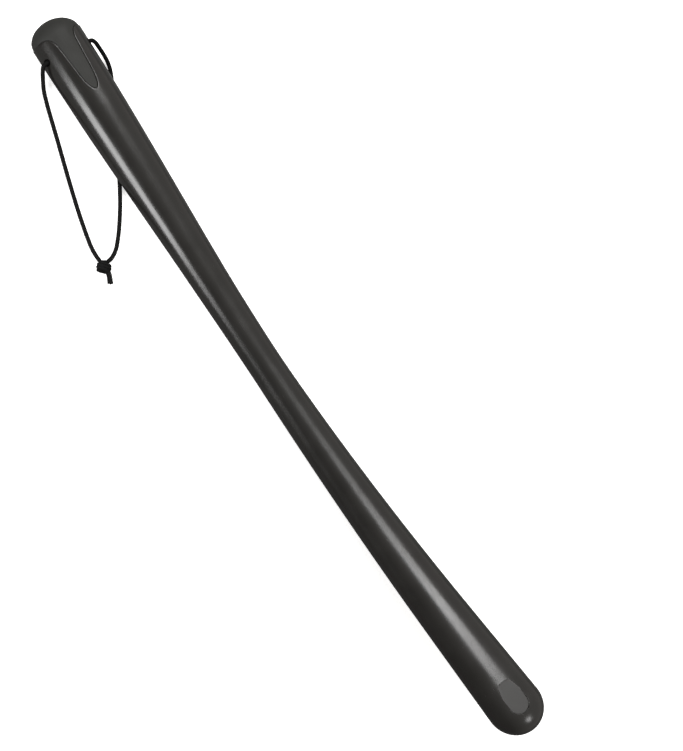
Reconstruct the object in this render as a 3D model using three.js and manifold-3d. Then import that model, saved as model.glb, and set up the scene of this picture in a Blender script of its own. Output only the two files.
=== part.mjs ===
// Long shoehorn: a moulded U-channel with a soft grip cap over the head, and a hanging cord
// tied into a loop through two holes in the head.
// Millimetres. +X runs from the head to the blade's tip and +Z is up.
// The shoehorn lies on its two long edges with its rounded back up, as it lies on a table.
// The origin is under the middle of the shoehorn, at the height of that table.

import * as THREE from 'three';
import { mergeVertices } from 'three/addons/utils/BufferGeometryUtils.js';
import Module from 'manifold-3d';

const wasm = await Module();
wasm.setup();

// ---------------------------------------------------------------- driving dimensions

const LENGTH = 600;
const HEAD_END = -LENGTH / 2;
const TIP_END = LENGTH / 2;

const HEAD_HALF_WIDTH = 20;
const WAIST_HALF_WIDTH = 13.15;
const BLADE_HALF_WIDTH = 21;
const X_HEAD_WIDEST = -284.5;
const X_WAIST = -8;
const X_BLADE_WIDEST = 280;
const BLADE_FLARE = 1.25;        // 1 would widen the blade in a straight line

const HEAD_DEPTH = 18.6;         // from the long edges to the back
const BLADE_DEPTH = 11.8;        // also at the waist

const HEAD_ROUND = 15.6;         // length of the rounded end of the head
const TIP_ROUND = 20.4;          // length of the rounded end of the blade

const WALL = 2.7;
const HEAD_WALL = 3.9;           // wall and cap together, in the head
const TIP_WALL = 2.0;
const CAP_WALL_END = -222;       // the thick wall under the cap has thinned out here
const CAP_WALL_FADE = 16;        // and it thins over this length
const TIP_WALL_START = 60;       // the blade's wall thins from here
const TIP_WALL_END = 260;        // to here

// The long edges touch the table over a short level length under the balance point. Both
// ends rise from there along an arc, and run out straight.
const X_LEVEL = -48;
const LEVEL_LENGTH = 20;
const BEND_RADIUS = 1000;
const HANDLE_SLOPE = 0.033;
const BLADE_SLOPE = 0.242;

const GAP = 0.3;                 // left between pieces that touch on the real object
const CAP_THICKNESS = 1.9;
const CAP_SHOULDER_X = -286;     // the cap's edge crosses the flanks here
const SHOULDER_HALF_WIDTH = 15;  // and curves towards the tongue from here
const SHOULDER_PULL = [-285, 8.3];
const TONGUE_START_X = -276;     // the tongue's sides are straight from here
const TONGUE_WIDE = 7.2;         // half width of the tongue there
const TONGUE_NARROWS_X = -251;   // to here, and its round end is beyond
const TONGUE_NARROW = 5;
const TONGUE_END_X = -238.5;
const TONGUE_PULL = 5;           // lengthwise pull of the curves that round its tip
const TONGUE_ROUND_PULL = 0.84;  // how full the tongue's round end is, up to 1
const THUMB_X = -270;            // middle of the shallow hollow along the tongue
const THUMB_RADII = [36, 9, 6];
const THUMB_DIP = 0.7;

const HOLE_X = -272.5;
const HOLE_HEIGHT = 8;          // above the long edges
const HOLE_RADIUS = 2.5;

const SCOOP_START_X = 260.5;     // thumb-shaped scoop in the back of the blade
const SCOOP_END_X = 285.6;
const SCOOP_HALF_WIDTH = 7.6;
const SCOOP_START_ROUND = 5;     // length of its round end on the handle side
const SCOOP_START_DEPTH = 0.2;
const SCOOP_END_DEPTH = 1.1;

const CORD_DIAMETER = 3;
const CORD_LIES = 1.6;           // height of its middle where it lies flat
const CORD_SIDES = 8;
const CORD_STEPS = 76;
const KNOT_CENTRE = [-129.6, -61.1, 3.2];
const KNOT_RADII = [5.2, 3.7, 3.1];
const KNOT_TURN = 0.7;           // radians, of the knot's long way from +X
const CORD_ENDS = [              // the two cut ends that stick out of the knot
  [[-127.5, -59.6, 3.8], [-117, -63.8, 4.1]],
  [[-127.5, -59.2, 2.2], [-118, -63.2, CORD_LIES]],
];

const ARC_STEPS = 18;            // facets round the channel's section
const END_STEPS = 6;             // sections in each rounded end
const END_BLUNTNESS = 0.05;      // the last section keeps this share of its width

// ---------------------------------------------------------------- shape of the channel

const clamp01 = (value) => Math.min(1, Math.max(0, value));
const smooth = (value) => (1 - Math.cos(Math.PI * clamp01(value))) / 2;
const between = (x, from, to) => clamp01((x - from) / (to - from));

function halfWidth(x) {
  if (x < X_WAIST) {
    const towardsHead = smooth(between(x, X_WAIST, X_HEAD_WIDEST));
    return WAIST_HALF_WIDTH + (HEAD_HALF_WIDTH - WAIST_HALF_WIDTH) * towardsHead;
  }
  const towardsTip = between(x, X_WAIST, X_BLADE_WIDEST) ** BLADE_FLARE;
  return WAIST_HALF_WIDTH + (BLADE_HALF_WIDTH - WAIST_HALF_WIDTH) * towardsTip;
}

function depth(x) {
  return BLADE_DEPTH + (HEAD_DEPTH - BLADE_DEPTH) * smooth(between(x, X_WAIST, X_HEAD_WIDEST));
}

function edgeHeight(x) {
  const slope = x < X_LEVEL ? HANDLE_SLOPE : BLADE_SLOPE;
  const run = Math.max(0, Math.abs(x - X_LEVEL) - LEVEL_LENGTH / 2);
  const arc = Math.min(run, slope * BEND_RADIUS);
  return arc ** 2 / (2 * BEND_RADIUS) + slope * (run - arc);
}

function wall(x) {
  const inHead = smooth(between(x, CAP_WALL_END, CAP_WALL_END - CAP_WALL_FADE));
  const inTip = smooth(between(x, TIP_WALL_START, TIP_WALL_END));
  return WALL + (HEAD_WALL - WALL) * inHead + (TIP_WALL - WALL) * inTip;
}

// How far the rounded ends draw the section in: 1 along the shaft, 0 at the very end.
function endShrink(x, inset) {
  const headRun = (HEAD_END + HEAD_ROUND - x) / (HEAD_ROUND - inset(HEAD_END));
  const tipRun = (x - TIP_END + TIP_ROUND) / (TIP_ROUND - inset(TIP_END));
  const run = clamp01(Math.max(headRun, tipRun));
  return Math.max(Math.sqrt(1 - run ** 2), END_BLUNTNESS);
}

const noInset = () => 0;
const backHeight = (x) => edgeHeight(x) + depth(x) * endShrink(x, noInset);

// Places along the channel, closer together in the rounded ends and the bend.
function stations(inset) {
  const headLength = HEAD_ROUND - inset(HEAD_END);
  const tipLength = TIP_ROUND - inset(TIP_END);
  const shaftStart = HEAD_END + HEAD_ROUND;
  const shaftEnd = TIP_END - TIP_ROUND;
  const levelStart = X_LEVEL - LEVEL_LENGTH / 2;
  const levelEnd = X_LEVEL + LEVEL_LENGTH / 2;
  const handleEnd = levelStart - HANDLE_SLOPE * BEND_RADIUS;
  const bladeStart = levelEnd + BLADE_SLOPE * BEND_RADIUS;
  const stretches = [
    [shaftStart, CAP_WALL_END, 4],
    [CAP_WALL_END, handleEnd, 6],
    [handleEnd, levelStart, 4],
    [levelStart, levelEnd, 1],
    [levelEnd, bladeStart, 9],
    [bladeStart, shaftEnd, 4],
  ];
  const turns = Array.from({ length: END_STEPS + 1 }, (_, i) => (i / END_STEPS) * (Math.PI / 2));
  const places = turns.slice(0, -1).map((turn) => shaftStart - headLength * Math.cos(turn));
  for (const [from, to, count] of stretches) {
    for (let i = 0; i < count; i += 1) {
      places.push(from + ((to - from) * i) / count);
    }
  }
  places.push(...turns.map((turn) => shaftEnd + tipLength * Math.sin(turn)));
  return places;
}

// A closed loft along the channel, its arch lowered by the inset all round. legs is how far
// its flat underside lies below the long edges.
function channelLoft(inset, legs) {
  const places = stations(inset);
  const positions = [];
  for (const x of places) {
    const shrink = endShrink(x, inset);
    const width = (halfWidth(x) - inset(x)) * shrink;
    const height = (depth(x) - inset(x)) * shrink;
    const edge = edgeHeight(x);
    for (let j = 0; j <= ARC_STEPS; j += 1) {
      const angle = Math.PI * (j / ARC_STEPS - 0.5);
      positions.push(x, width * Math.sin(angle), edge + height * Math.cos(angle));
    }
    if (legs > 0) {
      positions.push(x, width, edge - legs);
      positions.push(x, -width, edge - legs);
    }
  }
  const around = ARC_STEPS + (legs > 0 ? 3 : 1);
  const indices = [];
  for (let i = 0; i + 1 < places.length; i += 1) {
    for (let j = 0; j < around; j += 1) {
      const a = i * around + j;
      const b = i * around + ((j + 1) % around);
      indices.push(a, a + around, b, b, a + around, b + around);
    }
  }
  const last = (places.length - 1) * around;
  for (let j = 1; j + 1 < around; j += 1) {
    indices.push(0, j, j + 1);
    indices.push(last, last + j + 1, last + j);
  }
  const geometry = new THREE.BufferGeometry();
  geometry.setAttribute('position', new THREE.Float32BufferAttribute(positions, 3));
  geometry.setIndex(indices);
  return geometry;
}

// ---------------------------------------------------------------- joining and cutting

function toSolid(geometry) {
  const bare = geometry.clone();
  bare.deleteAttribute('normal');
  bare.deleteAttribute('uv');
  const merged = mergeVertices(bare, 1e-4);
  return new wasm.Manifold(new wasm.Mesh({
    numProp: 3,
    vertProperties: merged.attributes.position.array,
    triVerts: Uint32Array.from(merged.index.array),
  }));
}

function toGeometry(solid) {
  const mesh = solid.getMesh();
  const geometry = new THREE.BufferGeometry();
  geometry.setAttribute('position', new THREE.BufferAttribute(mesh.vertProperties, 3));
  geometry.setIndex(new THREE.BufferAttribute(mesh.triVerts, 1));
  geometry.computeVertexNormals();
  return geometry;
}

// ---------------------------------------------------------------- tools for the cuts

const CUT_OVERRUN = 5;           // the tools reach this far past what they cut

// Outline of the cap seen from above: the whole head end, and a tongue down the back.
function capPrism(clearance) {
  const shoulder = CAP_SHOULDER_X - clearance;
  const wide = TONGUE_WIDE - clearance;
  const narrow = TONGUE_NARROW - clearance;
  const end = TONGUE_END_X - clearance;
  const [pullX, pullY] = [SHOULDER_PULL[0] - clearance, SHOULDER_PULL[1] - clearance];
  const beyondX = HEAD_END - CUT_OVERRUN;
  const beyondY = HEAD_HALF_WIDTH + CUT_OVERRUN;
  const fullY = narrow * TONGUE_ROUND_PULL;
  const outline = new THREE.Shape();
  outline.moveTo(beyondX, -beyondY);
  outline.lineTo(shoulder, -beyondY);
  outline.lineTo(shoulder, -SHOULDER_HALF_WIDTH);
  outline.quadraticCurveTo(pullX, -pullY, TONGUE_START_X, -wide);
  outline.lineTo(TONGUE_NARROWS_X, -narrow);
  outline.bezierCurveTo(end - TONGUE_PULL, -fullY, end, -fullY / 2, end, 0);
  outline.bezierCurveTo(end, fullY / 2, end - TONGUE_PULL, fullY, TONGUE_NARROWS_X, narrow);
  outline.lineTo(TONGUE_START_X, wide);
  outline.quadraticCurveTo(pullX, pullY, shoulder, SHOULDER_HALF_WIDTH);
  outline.lineTo(shoulder, beyondY);
  outline.lineTo(beyondX, beyondY);
  const prism = new THREE.ExtrudeGeometry(outline, {
    depth: HEAD_DEPTH * 3, bevelEnabled: false, curveSegments: 6,
  });
  prism.translate(0, 0, -CUT_OVERRUN);
  return toSolid(prism);
}

// A lens-shaped tool that leaves a shallow hollow along the tongue.
function thumbTool() {
  const lens = new THREE.SphereGeometry(1, 16, 12);
  lens.scale(...THUMB_RADII);
  lens.rotateY(HANDLE_SLOPE);
  lens.translate(THUMB_X, 0, backHeight(THUMB_X) + THUMB_RADII[2] - THUMB_DIP);
  return toSolid(lens);
}

function cordHoleTool() {
  const drill = new THREE.CylinderGeometry(HOLE_RADIUS, HOLE_RADIUS, HEAD_HALF_WIDTH * 3, 16);
  drill.translate(HOLE_X, 0, edgeHeight(HOLE_X) + HOLE_HEIGHT);
  return toSolid(drill);
}

// The scoop has a flat floor, all but flush at its handle end and a small step deep at its
// tip end. offset widens and lowers it, for the matching nub on the channel's inner side.
function scoopTool(offset) {
  const middle = (SCOOP_START_X + SCOOP_END_X) / 2;
  const reach = (SCOOP_END_X - SCOOP_START_X) / 2;
  const half = SCOOP_HALF_WIDTH + offset;
  const startX = SCOOP_START_ROUND - reach;
  const endX = reach - SCOOP_HALF_WIDTH;
  const outline = new THREE.Shape();
  outline.absellipse(endX, 0, half, half, -Math.PI / 2, Math.PI / 2);
  outline.absellipse(startX, 0, SCOOP_START_ROUND + offset, half, Math.PI / 2, -Math.PI / 2);
  const block = new THREE.ExtrudeGeometry(outline, {
    depth: BLADE_DEPTH, bevelEnabled: false, curveSegments: 10,
  });
  const startHeight = backHeight(SCOOP_START_X) - SCOOP_START_DEPTH;
  const endHeight = backHeight(SCOOP_END_X) - SCOOP_END_DEPTH;
  block.rotateY(-Math.atan2(endHeight - startHeight, 2 * reach));
  block.translate(middle, 0, (startHeight + endHeight) / 2 - offset);
  return toSolid(block);
}

// ---------------------------------------------------------------- the pieces

const insetBy = (thickness) => () => thickness;
const outerSolid = toSolid(channelLoft(noInset, 0));

function shoehornBody() {
  const core = toSolid(channelLoft(insetBy(CAP_THICKNESS + GAP), CUT_OVERRUN));
  const pocket = capPrism(0).subtract(core);
  const cavity = toSolid(channelLoft(wall, CUT_OVERRUN)).subtract(scoopTool(TIP_WALL));
  return toGeometry(outerSolid
    .subtract(pocket)
    .subtract(scoopTool(0))
    .subtract(cavity)
    .subtract(cordHoleTool()));
}

function gripCap() {
  const core = toSolid(channelLoft(insetBy(CAP_THICKNESS), CUT_OVERRUN));
  return toGeometry(outerSolid
    .intersect(capPrism(GAP))
    .subtract(core)
    .subtract(thumbTool()));
}

// The cord's own line: from the knot up to the near hole, through the head, out of the far
// hole, down to the table, under the shaft and back to the knot.
const holeHeight = edgeHeight(HOLE_X) + HOLE_HEIGHT;
const CORD_ROUTE = [
  [-135.3, -60.9, 2.4],
  [-139.5, -60.9, 1.8],
  [-146, -60.4, CORD_LIES],
  [-153.4, -58.9, CORD_LIES],
  [-166.7, -55.6, CORD_LIES],
  [-181.3, -51.5, CORD_LIES],
  [-195.5, -47.2, CORD_LIES],
  [-209.9, -42.7, CORD_LIES],
  [-224.3, -38.1, CORD_LIES],
  [-238.6, -33.7, CORD_LIES],
  [-246.4, -31.3, CORD_LIES],
  [-253.3, -29, 1.9],
  [-258.6, -27.3, 3.1],
  [-262.8, -25.6, 5.4],
  [-266.2, -24.2, 8.4],
  [-269.2, -22.9, 11.6],
  [-271.9, -20.7, 13.9],
  [-272.5, -16.5, holeHeight],
  [-272.2, 0, holeHeight - 0.5],
  [-272.3, 16.5, holeHeight - 0.3],
  [-272, 19.9, holeHeight - 0.8],
  [-270, 22.1, 11.8],
  [-267, 23.1, 9.7],
  [-263.4, 23.9, 7.7],
  [-259.9, 24.5, 5.8],
  [-256, 24.8, 3.9],
  [-251.8, 24.3, 2.4],
  [-246.8, 22.6, CORD_LIES],
  [-240.5, 19.3, CORD_LIES],
  [-228, 12.6, CORD_LIES],
  [-214, 4.9, CORD_LIES],
  [-200, -2.9, CORD_LIES],
  [-187, -10.4, CORD_LIES],
  [-174, -18, CORD_LIES],
  [-162.7, -25.1, CORD_LIES],
  [-152.2, -32.5, CORD_LIES],
  [-143.1, -39.7, CORD_LIES],
  [-136.3, -46.2, 1.7],
  [-132.6, -52.3, 2],
  [-131.6, -56.7, 2.4],
];

function hangingCord() {
  const line = new THREE.CatmullRomCurve3(
    CORD_ROUTE.map((point) => new THREE.Vector3(...point)),
    false,
    'centripetal',
  );
  const section = new THREE.Shape();
  const corners = Array.from({ length: CORD_SIDES }, (_, i) => {
    const angle = (2 * Math.PI * i) / CORD_SIDES;
    return new THREE.Vector2(Math.cos(angle), Math.sin(angle)).multiplyScalar(CORD_DIAMETER / 2);
  });
  section.setFromPoints(corners);
  return new THREE.ExtrudeGeometry(section, { steps: CORD_STEPS, extrudePath: line });
}

// A round bar between two points, for the cut ends that come out of the knot.
function cordEnd(from, to) {
  const start = new THREE.Vector3(...from);
  const end = new THREE.Vector3(...to);
  const along = end.clone().sub(start);
  const bar = new THREE.CylinderGeometry(
    CORD_DIAMETER / 2, CORD_DIAMETER / 2, along.length(), CORD_SIDES,
  );
  bar.applyQuaternion(new THREE.Quaternion().setFromUnitVectors(
    new THREE.Vector3(0, 1, 0), along.clone().normalize(),
  ));
  bar.translate(...start.add(end).multiplyScalar(0.5).toArray());
  return toSolid(bar);
}

function cordKnot() {
  const lump = new THREE.SphereGeometry(1, 14, 10);
  lump.scale(...KNOT_RADII);
  lump.rotateZ(KNOT_TURN);
  lump.translate(...KNOT_CENTRE);
  const ends = CORD_ENDS.map(([from, to]) => cordEnd(from, to));
  return toGeometry(toSolid(lump).add(ends[0]).add(ends[1]));
}

// ---------------------------------------------------------------- the assembly

const MATERIALS = {
  hardPlastic: { color: 0x3d3c3a, roughness: 0.32, metalness: 0 },
  softGrip: { color: 0x3f3f3d, roughness: 0.75, metalness: 0 },
  blackCord: { color: 0x0a0a0a, roughness: 0.9, metalness: 0 },
};

const assembly = new THREE.Group();

function addPiece(name, geometry, material) {
  const piece = new THREE.Mesh(geometry, new THREE.MeshStandardMaterial(material));
  piece.name = name;
  assembly.add(piece);
}

addPiece('shoehorn_body', shoehornBody(), MATERIALS.hardPlastic);
addPiece('grip_cap', gripCap(), MATERIALS.softGrip);
addPiece('hanging_cord', hangingCord(), MATERIALS.blackCord);
addPiece('cord_knot', cordKnot(), MATERIALS.blackCord);

export default assembly;
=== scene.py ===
# Long shoehorn with a soft grip cap and a knotted hanging cord, on a pale studio floor.
# Metres. +X runs from the head to the blade's tip and +Z is up. The shoehorn lies on its two
# long edges with its rounded back up, in the same frame as its CAD model.

import math

import bmesh
import bpy
import numpy as np
from mathutils import Matrix, Vector


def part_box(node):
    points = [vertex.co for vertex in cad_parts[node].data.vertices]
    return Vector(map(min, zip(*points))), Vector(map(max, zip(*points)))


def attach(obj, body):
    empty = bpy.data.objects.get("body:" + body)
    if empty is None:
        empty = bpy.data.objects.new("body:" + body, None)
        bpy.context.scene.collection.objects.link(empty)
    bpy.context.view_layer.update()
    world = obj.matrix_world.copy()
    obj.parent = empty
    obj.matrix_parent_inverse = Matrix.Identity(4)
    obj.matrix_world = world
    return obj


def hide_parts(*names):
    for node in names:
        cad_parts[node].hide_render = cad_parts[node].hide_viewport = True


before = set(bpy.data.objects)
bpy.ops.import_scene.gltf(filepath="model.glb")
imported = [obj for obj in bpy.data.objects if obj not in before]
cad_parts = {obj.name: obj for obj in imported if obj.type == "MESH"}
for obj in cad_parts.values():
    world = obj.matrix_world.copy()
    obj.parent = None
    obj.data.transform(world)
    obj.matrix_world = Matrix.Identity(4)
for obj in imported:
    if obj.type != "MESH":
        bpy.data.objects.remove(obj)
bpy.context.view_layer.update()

# ------------------------------------------------------------------ driving dimensions

HEAD_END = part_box("grip_cap")[0].x
TIP_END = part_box("shoehorn_body")[1].x
HEAD_HALF_WIDTH = 0.0200
WAIST_HALF_WIDTH = 0.01315
BLADE_HALF_WIDTH = 0.0210
X_HEAD_WIDEST = -0.2845
X_WAIST = -0.008
X_BLADE_WIDEST = 0.280
BLADE_FLARE = 1.25            # 1 would widen the blade in a straight line
HEAD_DEPTH = 0.0186
BLADE_DEPTH = 0.0118
HEAD_ROUND = 0.0156           # lengths of the rounded ends
TIP_ROUND = 0.0204

WALL = 0.0027                 # the shell's thickness along the shaft
HEAD_WALL = 0.0039
TIP_WALL = 0.0020
CAP_WALL_END = -0.222
CAP_WALL_FADE = 0.016
TIP_WALL_START = 0.060
TIP_WALL_END = 0.260

X_LEVEL = -0.048              # the long edges touch the table round here
LEVEL_LENGTH = 0.020
BEND_RADIUS = 1.0
HANDLE_SLOPE = 0.033          # how steeply the two ends rise
BLADE_SLOPE = 0.242

CAP_SHOULDER_X = -0.286       # outline of the soft cap, seen from above
SHOULDER_HALF_WIDTH = 0.015
SHOULDER_PULL = (-0.285, 0.0083)
TONGUE_START_X = -0.276
TONGUE_WIDE = 0.0072
TONGUE_NARROWS_X = -0.251
TONGUE_NARROW = 0.0050
TONGUE_END_X = -0.2385
TONGUE_TIP_PULL = 0.005       # how blunt the tongue's tip is along X
TONGUE_ROUND_PULL = 0.84      # and across, as a share of TONGUE_NARROW

HOLE_X = -0.2725
HOLE_HEIGHT = 0.008
HOLE_RADIUS = 0.0025
HOLE_LIP = 0.0004             # radius of the rounding round each hole

SCOOP_START_X = 0.2605
SCOOP_END_X = 0.2856
SCOOP_HALF_WIDTH = 0.0076
SCOOP_START_ROUND = 0.005
SCOOP_START_DEPTH = 0.0002    # of the floor below the back, at the scoop's two ends
SCOOP_END_DEPTH = 0.0011

CORD_DIAMETER = 0.0030
CORD_LIES = 0.0016            # height of its middle where it lies flat
MM = 0.001


# ------------------------------------------------------------------ camera

VIEW_ROLL = math.radians(20.97)      # the camera stands to the object's right
VIEW_PITCH = math.radians(0.52)      # and a little past its middle
VIEW_HEADING = math.radians(56.85)   # turns the object across the picture
VIEW_TARGET = Vector((0.0247, 0.0353, 0.025))
VIEW_DISTANCE = 1.3124
LENS = 89.0
NEAR_CLIP = 0.05
FAR_CLIP = 50


def aim_camera():
    """Aims the camera from VIEW_DISTANCE at VIEW_TARGET."""
    out = Vector((math.sin(VIEW_PITCH), -math.sin(VIEW_ROLL) * math.cos(VIEW_PITCH),
                  math.cos(VIEW_ROLL) * math.cos(VIEW_PITCH)))
    along = (Vector((1, 0, 0)) - out * out.x).normalized()
    side = out.cross(along)
    right = along * math.cos(VIEW_HEADING) + side * math.sin(VIEW_HEADING)
    up = side * math.cos(VIEW_HEADING) - along * math.sin(VIEW_HEADING)
    data = bpy.data.cameras.new("camera")
    data.lens = LENS
    data.clip_start = NEAR_CLIP
    data.clip_end = FAR_CLIP
    camera = bpy.data.objects.new("camera", data)
    bpy.context.scene.collection.objects.link(camera)
    matrix = Matrix((right, up, out)).transposed().to_4x4()
    matrix.translation = VIEW_TARGET + out * VIEW_DISTANCE
    camera.matrix_world = matrix
    bpy.context.scene.camera = camera


aim_camera()


# ------------------------------------------------------------------ shape of the channel

def smooth(value):
    """From 0 to 1 as value does, with a soft start and a soft end."""
    return (1 - np.cos(np.pi * np.clip(value, 0, 1))) / 2


def between(x, start, end):
    """How far x is from start to end, as a share."""
    return np.clip((x - start) / (end - start), 0, 1)


def half_width(x):
    """Half the width over the two long edges."""
    to_head = smooth(between(x, X_WAIST, X_HEAD_WIDEST))
    to_tip = between(x, X_WAIST, X_BLADE_WIDEST) ** BLADE_FLARE
    handle = WAIST_HALF_WIDTH + (HEAD_HALF_WIDTH - WAIST_HALF_WIDTH) * to_head
    blade = WAIST_HALF_WIDTH + (BLADE_HALF_WIDTH - WAIST_HALF_WIDTH) * to_tip
    return np.where(x < X_WAIST, handle, blade)


def depth(x):
    """Height of the back above the long edges."""
    to_head = smooth(between(x, X_WAIST, X_HEAD_WIDEST))
    return BLADE_DEPTH + (HEAD_DEPTH - BLADE_DEPTH) * to_head


def edge_height(x):
    """Height of the long edges: level, then an arc and a straight rise to each end."""
    slope = np.where(x < X_LEVEL, HANDLE_SLOPE, BLADE_SLOPE)
    run = np.maximum(0, np.abs(x - X_LEVEL) - LEVEL_LENGTH / 2)
    arc = np.minimum(run, slope * BEND_RADIUS)
    return arc ** 2 / (2 * BEND_RADIUS) + slope * (run - arc)


def wall(x):
    """The shell's thickness."""
    in_head = smooth(between(x, CAP_WALL_END, CAP_WALL_END - CAP_WALL_FADE))
    in_tip = smooth(between(x, TIP_WALL_START, TIP_WALL_END))
    return WALL + (HEAD_WALL - WALL) * in_head + (TIP_WALL - WALL) * in_tip


# The shell is a ring of columns round each section: the back, the left long edge, the inner
# side and the right long edge. A station s is x along the shaft and a share of the turn in
# the rounded ends, and c is the place round the ring.

BACK_SPAN = 1.0               # how much of c the back takes, and the inner side too
EDGE_SPAN = 0.2               # and each of the long edges
RING_SPAN = 2 * (BACK_SPAN + EDGE_SPAN)
SHAFT_START = HEAD_END + HEAD_ROUND
SHAFT_END = TIP_END - TIP_ROUND


def arch_point(s, turn, inset):
    """A point on the arch at station s, turn going from -1 at one long edge to 1 at the
    other. It starts half a wall above the edges, where their rounding takes over."""
    head_share = np.clip((SHAFT_START - s) / HEAD_ROUND, 0, 1)
    tip_share = np.clip((s - SHAFT_END) / TIP_ROUND, 0, 1)
    shaft_x = np.clip(s, SHAFT_START, SHAFT_END)
    lift = wall(shaft_x) / 2
    full_turn = np.arccos(lift / (depth(shaft_x) - inset))
    head_turn = head_share * full_turn
    tip_turn = tip_share * full_turn
    x = (shaft_x - (HEAD_ROUND - inset) * np.sin(head_turn)
         + (TIP_ROUND - inset) * np.sin(tip_turn))
    shrink = np.cos(head_turn) * np.cos(tip_turn)
    height = (depth(shaft_x) - inset) * shrink
    angle = turn * np.arccos(np.clip(lift / height, 0, 1))
    y = (half_width(x) - inset) * shrink * np.sin(angle)
    z = edge_height(x) + height * np.cos(angle)
    return np.stack([x, y, z], -1)


def ring_place(s, c):
    """Points on the shell before anything is sunk, how much of a sinking of the back each
    of them takes, and which of them are on the inner side."""
    c = np.mod(c, RING_SPAN)
    thick = wall(np.clip(s, SHAFT_START, SHAFT_END))
    on_back = c <= BACK_SPAN
    on_left_edge = (c > BACK_SPAN) & (c < BACK_SPAN + EDGE_SPAN)
    on_inside = (c >= BACK_SPAN + EDGE_SPAN) & (c <= 2 * BACK_SPAN + EDGE_SPAN)
    edge_side = np.where(on_left_edge, 1.0, -1.0)
    back_turn = np.where(on_back, 2 * c - 1, edge_side)
    inner_turn = np.where(on_inside, 1 - 2 * (c - BACK_SPAN - EDGE_SPAN), edge_side)
    outer = arch_point(s, back_turn, np.zeros_like(s))
    inner = arch_point(s, inner_turn, thick)
    past = np.where(on_left_edge, c - BACK_SPAN, RING_SPAN - c) / EDGE_SPAN
    round_turn = np.pi * np.where(on_back, 0.0, np.where(on_inside, 1.0, past))
    middle = (outer + inner) / 2
    half = (outer - inner) / 2
    points = middle + half * np.cos(round_turn)[:, None]
    points[:, 2] -= thick / 2 * np.sin(round_turn)
    share = np.where(on_back, 1.0, np.clip(np.cos(round_turn), 0, 1))
    return points, share, on_inside


def back_normal(points):
    """The outward direction of the back, for sinking parts of it."""
    x, y, z = points[:, 0], points[:, 1], points[:, 2]
    normal_y = y / half_width(x) ** 2
    normal_z = np.maximum(z - edge_height(x), 0) / depth(x) ** 2
    in_head = np.maximum(SHAFT_START - x, 0) / HEAD_ROUND ** 2
    in_tip = np.maximum(x - SHAFT_END, 0) / TIP_ROUND ** 2
    slope = (edge_height(x + MM) - edge_height(x - MM)) / (2 * MM)
    normal = np.stack([in_tip - in_head - slope * normal_z, normal_y, normal_z], -1)
    return normal / np.linalg.norm(normal, axis=1)[:, None]


# ------------------------------------------------------------------ outlines on the back

OUTLINE_POINTS = 24           # on each curve of an outline


def quadratic(start, pull, end):
    t = np.linspace(0, 1, OUTLINE_POINTS)[:, None]
    start, pull, end = np.array(start), np.array(pull), np.array(end)
    return start * (1 - t) ** 2 + pull * 2 * t * (1 - t) + end * t ** 2


def cubic(a, b, c, d):
    t = np.linspace(0, 1, OUTLINE_POINTS)[:, None]
    a, b, c, d = (np.array(point) for point in (a, b, c, d))
    return a * (1 - t) ** 3 + b * 3 * t * (1 - t) ** 2 + c * 3 * t ** 2 * (1 - t) + d * t ** 3


def cap_outline():
    """Half of the cap's edge seen from above, from the flank to the tongue's tip."""
    full = TONGUE_NARROW * TONGUE_ROUND_PULL
    past_flank = [(CAP_SHOULDER_X, HEAD_HALF_WIDTH * 2)]
    shoulder = quadratic((CAP_SHOULDER_X, SHOULDER_HALF_WIDTH), SHOULDER_PULL,
                         (TONGUE_START_X, TONGUE_WIDE))
    tip = cubic((TONGUE_NARROWS_X, TONGUE_NARROW), (TONGUE_END_X - TONGUE_TIP_PULL, full),
                (TONGUE_END_X, full / 2), (TONGUE_END_X, 0))
    return np.concatenate([past_flank, shoulder, tip])


def scoop_outline():
    """Half of the scoop's edge seen from above, from its handle end to its tip end."""
    turns = np.linspace(0, np.pi / 2, OUTLINE_POINTS)
    start = np.stack([SCOOP_START_X + SCOOP_START_ROUND * (1 - np.cos(turns)),
                      SCOOP_HALF_WIDTH * np.sin(turns)], -1)
    end = np.stack([SCOOP_END_X - SCOOP_HALF_WIDTH * (1 - np.sin(turns)),
                    SCOOP_HALF_WIDTH * np.cos(turns)], -1)
    return np.concatenate([start, end])


def distance_to(outline, x, y):
    """How far each point (x, |y|) is from a line of points, seen from above."""
    points = np.stack([x, np.abs(y)], -1)
    best = np.full(len(x), np.inf)
    for start, end in zip(outline[:-1], outline[1:]):
        step = end - start
        share = np.clip((points - start) @ step / (step @ step), 0, 1)
        gap = points - start - share[:, None] * step
        best = np.minimum(best, np.einsum("ij,ij->i", gap, gap))
    return np.sqrt(best)


CAP_OUTLINE = cap_outline()
SCOOP_OUTLINE = scoop_outline()


def from_cap(x, y):
    """Signed distance from the cap's edge: above 0 on the bare plastic, below 0 on the cap."""
    edge_x = np.interp(np.abs(y), CAP_OUTLINE[::-1, 1], CAP_OUTLINE[::-1, 0])
    return np.where(x > edge_x, 1, -1) * distance_to(CAP_OUTLINE, x, y)


def from_scoop(x, y):
    """Signed distance from the scoop's edge: below 0 inside it."""
    half = np.interp(x, SCOOP_OUTLINE[:, 0], SCOOP_OUTLINE[:, 1], left=0, right=0)
    return np.where(np.abs(y) < half, -1, 1) * distance_to(SCOOP_OUTLINE, x, y)


# ------------------------------------------------------------------ sinking parts of the back

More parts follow.
